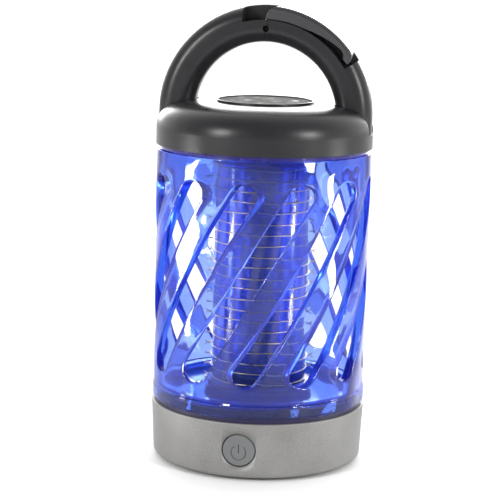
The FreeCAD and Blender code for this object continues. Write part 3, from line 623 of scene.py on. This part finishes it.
def cage_shell():
    """Slotted wall with its collar below and its neck above, as one piece."""
    bm = bmesh.new()
    columns = cage_skin(bm, cage_out_r, SLOT_EDGE)
    cage_skin(bm, lambda z: CAGE_IN_R, SLOT_EDGE)
    slot_walls(bm)
    high_r = cage_out_r(BELT_HIGH_Z)
    high = rounded_path([(high_r, BELT_HIGH_Z, 0), (cage_out_r(CAGE_TOP_Z), CAGE_TOP_Z, 0.5),
                         (CAGE_NECK_R, CAGE_TOP_Z, 0.2), (CAGE_NECK_R, CAGE_NECK_TOP_Z, 0.3),
                         (CAGE_MOUTH_R, CAGE_NECK_TOP_Z, 0.3), (CAGE_MOUTH_R, CAGE_TOP_Z + 1.0, 0.3),
                         (CAGE_IN_R, CAGE_TOP_Z + 1.0, 0.6), (CAGE_IN_R, BELT_HIGH_Z, 0)])
    cage_belt(bm, columns[BELT_HIGH_Z], high)
    low_r = cage_out_r(BELT_LOW_Z)
    low = rounded_path([(low_r, BELT_LOW_Z, 0), (CAGE_FOOT_R, 35.6, 0.5), (COLLAR_R, 34.8, 0.5),
                        (COLLAR_R, CAGE_LOW_Z, 0.5), (CAGE_IN_R, CAGE_LOW_Z, 0.3),
                        (CAGE_IN_R, BELT_LOW_Z, 0)])
    cage_belt(bm, columns[BELT_LOW_Z], low)
    shell = finish_mesh("cage_shell_look", bm, "cage", CAGE_BLUE, 40)
    # Faces above the neck height get the darker copy of the blue, painted shade for the inside of the cap.
    shell.data.materials.append(CAGE_NECK_PAINTED_SHADE)
    for face in shell.data.polygons:
        face.material_index = 1 if face.center.z > CAGE_SHADE_FROM_Z * MM else 0
    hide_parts("cage_top", "cage_crown", "cage_ribs", "cage_collar")


# ---- wire grid -----------------------------------------------------------------------------------------
RING_STEPS = 120
RING_SAG = 0.20          # slow and quick waves of a ring, up and down
RING_KINK = 0.10
RING_BULGE = 0.07        # out of round


def ring_height(index):
    return RING_LOW_Z + RING_PITCH * index


def ring_path(index):
    """One ring of wire, a little out of round and out of level."""
    points = []
    for k in range(RING_STEPS):
        turn = 2 * math.pi * k / RING_STEPS
        sag = RING_SAG * math.sin(2 * turn + 2.4 * index) + RING_KINK * math.sin(5 * turn + 1.7 * index)
        bulge = RING_BULGE * math.sin(3 * turn + index)
        points.append(polar(GRID_R + bulge, math.degrees(turn), ring_height(index) + sag))
    return points


def twisted_end(bm, middle_deg, index):
    """Two strands that cross outside their ring and spread apart like a V."""
    z = ring_height(index)
    spread = 0.9 + 0.3 * math.sin(2.1 * index + middle_deg)
    for side in (-1, 1):
        strand = [polar(GRID_R, middle_deg + 4.5 * side, z),
                  polar(GRID_R + 0.5, middle_deg + 2.4 * side, z + 0.10 * side),
                  polar(GRID_R + 0.9, middle_deg, z + 0.28 * side),
                  polar(GRID_R + 1.4, middle_deg - 1.4 * side, z + 0.10 * side),
                  polar(GRID_R + 1.9, middle_deg - 1.0 * side, z - 0.25 * side),
                  polar(TAIL_REACH_R, middle_deg - 2.2 * side, z - spread * side)]
        tube_along(bm, strand, WIRE_R, 6)


def wire_rings(name, first, rod_deg):
    """Every second ring, from the first, with its twisted ends and the stub to its rod."""
    bm = bmesh.new()
    for index in range(first, RING_COUNT, 2):
        tube_along(bm, ring_path(index), WIRE_R, 8, closed=True)
        twisted_end(bm, TAIL_LEFT_DEG, index)
        twisted_end(bm, TAIL_RIGHT_DEG, index)
        z = ring_height(index)
        tube_along(bm, [polar(GRID_R, rod_deg, z), polar(ROD_SPOT_R, rod_deg, z)], WIRE_R, 6)
    wires = finish_mesh(name + "_look", bm, "base", WIRE, 60)
    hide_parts(name)


# ---- stage ---------------------------------------------------------------------------------------------
FLOOR_HALF = 9000
FLOOR_STEP = 3000
ROOM_STRENGTH = 0.4      # on the camera's side
BACKDROP_STRENGTH = 2.0


def stage():
    """Pale floor."""
    bm = bmesh.new()
    marks = range(-FLOOR_HALF, FLOOR_HALF + 1, FLOOR_STEP)
    rows = [[Vector((x, y, 0.0)) for x in marks] for y in marks]
    grid_patch(bm, rows)
    shader = Shader("floor")
    slow = shader.noise(900.0, 2.0)
    shader.link(shader.mix(slow, (0.86, 0.86, 0.86), (0.90, 0.90, 0.90)), shader.main.inputs["Base Color"])
    shader.set(Roughness=0.7)
    floor = finish_mesh("floor", bm, None, shader.material)


def world():
    """Bright backdrop behind the object and a dimmer room on the camera's side."""
    sky = bpy.data.worlds.new("studio")
    sky.use_nodes = True
    nodes = sky.node_tree.nodes
    links = sky.node_tree.links
    backdrop = nodes["Background"]
    backdrop.inputs["Color"].default_value = (1.0, 1.0, 1.0, 1.0)
    split = nodes.new("ShaderNodeSeparateXYZ")
    links.new(nodes.new("ShaderNodeTexCoord").outputs["Generated"], split.inputs["Vector"])
    ranger = nodes.new("ShaderNodeMapRange")
    ranger.inputs["From Min"].default_value = -0.35
    ranger.inputs["From Max"].default_value = 0.6
    ranger.inputs["To Min"].default_value = ROOM_STRENGTH
    ranger.inputs["To Max"].default_value = BACKDROP_STRENGTH
    links.new(split.outputs["Y"], ranger.inputs["Value"])
    links.new(ranger.outputs["Result"], backdrop.inputs["Strength"])
    bpy.context.scene.world = sky


def softbox(name, azimuth, distance, height, width, tall, power, aim_z=100.0, glints_only=False):
    """Area light at an azimuth from the front, aimed at the object; it may only make glints."""
    light = bpy.data.lights.new(name, "AREA")
    light.shape = "RECTANGLE"
    light.size = width * MM
    light.size_y = tall * MM
    light.energy = power
    holder = bpy.data.objects.new(name, light)
    holder.location = polar(distance, azimuth, height) * MM
    aim = Vector((0, 0, aim_z * MM)) - holder.location
    holder.rotation_euler = aim.to_track_quat("-Z", "Y").to_euler()
    holder.visible_diffuse = not glints_only
    bpy.context.collection.objects.link(holder)


def lights():
    """Two strips for the shine on the cage, two boxes for the cap, and a panel behind."""
    softbox("left_strip", azimuth=-68.0, distance=330.0, height=45.0, width=64.0, tall=100.0,
            power=0.7, aim_z=45.0, glints_only=True)
    softbox("right_strip", azimuth=88.0, distance=330.0, height=45.0, width=52.0, tall=100.0,
            power=0.55, aim_z=45.0, glints_only=True)
    softbox("left_box", azimuth=-37.0, distance=900.0, height=400.0, width=130.0, tall=340.0, power=5.5)
    softbox("right_box", azimuth=57.0, distance=900.0, height=400.0, width=130.0, tall=340.0, power=5.5)
    softbox("back_panel", azimuth=189.7, distance=2600.0, height=820.0, width=3200.0, tall=1200.0,
            power=90.0, aim_z=166.0, glints_only=True)


def camera():
    """Camera from its distance, azimuth, tilt and roll."""
    turn = math.radians(CAMERA_AZIMUTH)
    tilt = math.radians(CAMERA_TILT_DOWN)
    roll = math.radians(CAMERA_ROLL)
    right = Vector((math.cos(turn), math.sin(turn), 0))
    ahead = Vector((-math.sin(turn), math.cos(turn), 0))
    up = ahead * math.sin(tilt) + Vector((0, 0, math.cos(tilt)))
    look = ahead * math.cos(tilt) - Vector((0, 0, math.sin(tilt)))
    across = right * math.cos(roll) - up * math.sin(roll)
    upward = right * math.sin(roll) + up * math.cos(roll)
    place = right * CAMERA_SIDESTEP - ahead * CAMERA_DISTANCE + Vector((0, 0, CAMERA_HEIGHT))
    view = bpy.data.cameras.new("camera")
    view.sensor_width = CAMERA_SENSOR
    view.lens = CAMERA_LENS
    holder = bpy.data.objects.new("camera", view)
    axes = Matrix((across, upward, -look)).transposed().to_4x4()
    holder.matrix_world = Matrix.Translation(place * MM) @ axes
    bpy.context.collection.objects.link(holder)
    bpy.context.scene.camera = holder


camera()
world()
lights()
stage()
base_housing()
cage_shell()
wire_rings("wire_rings_live", 0, ROD_LIVE_DEG)
wire_rings("wire_rings_return", 1, ROD_RETURN_DEG)
carried_over()
bpy.context.scene.view_settings.view_transform = "Standard"
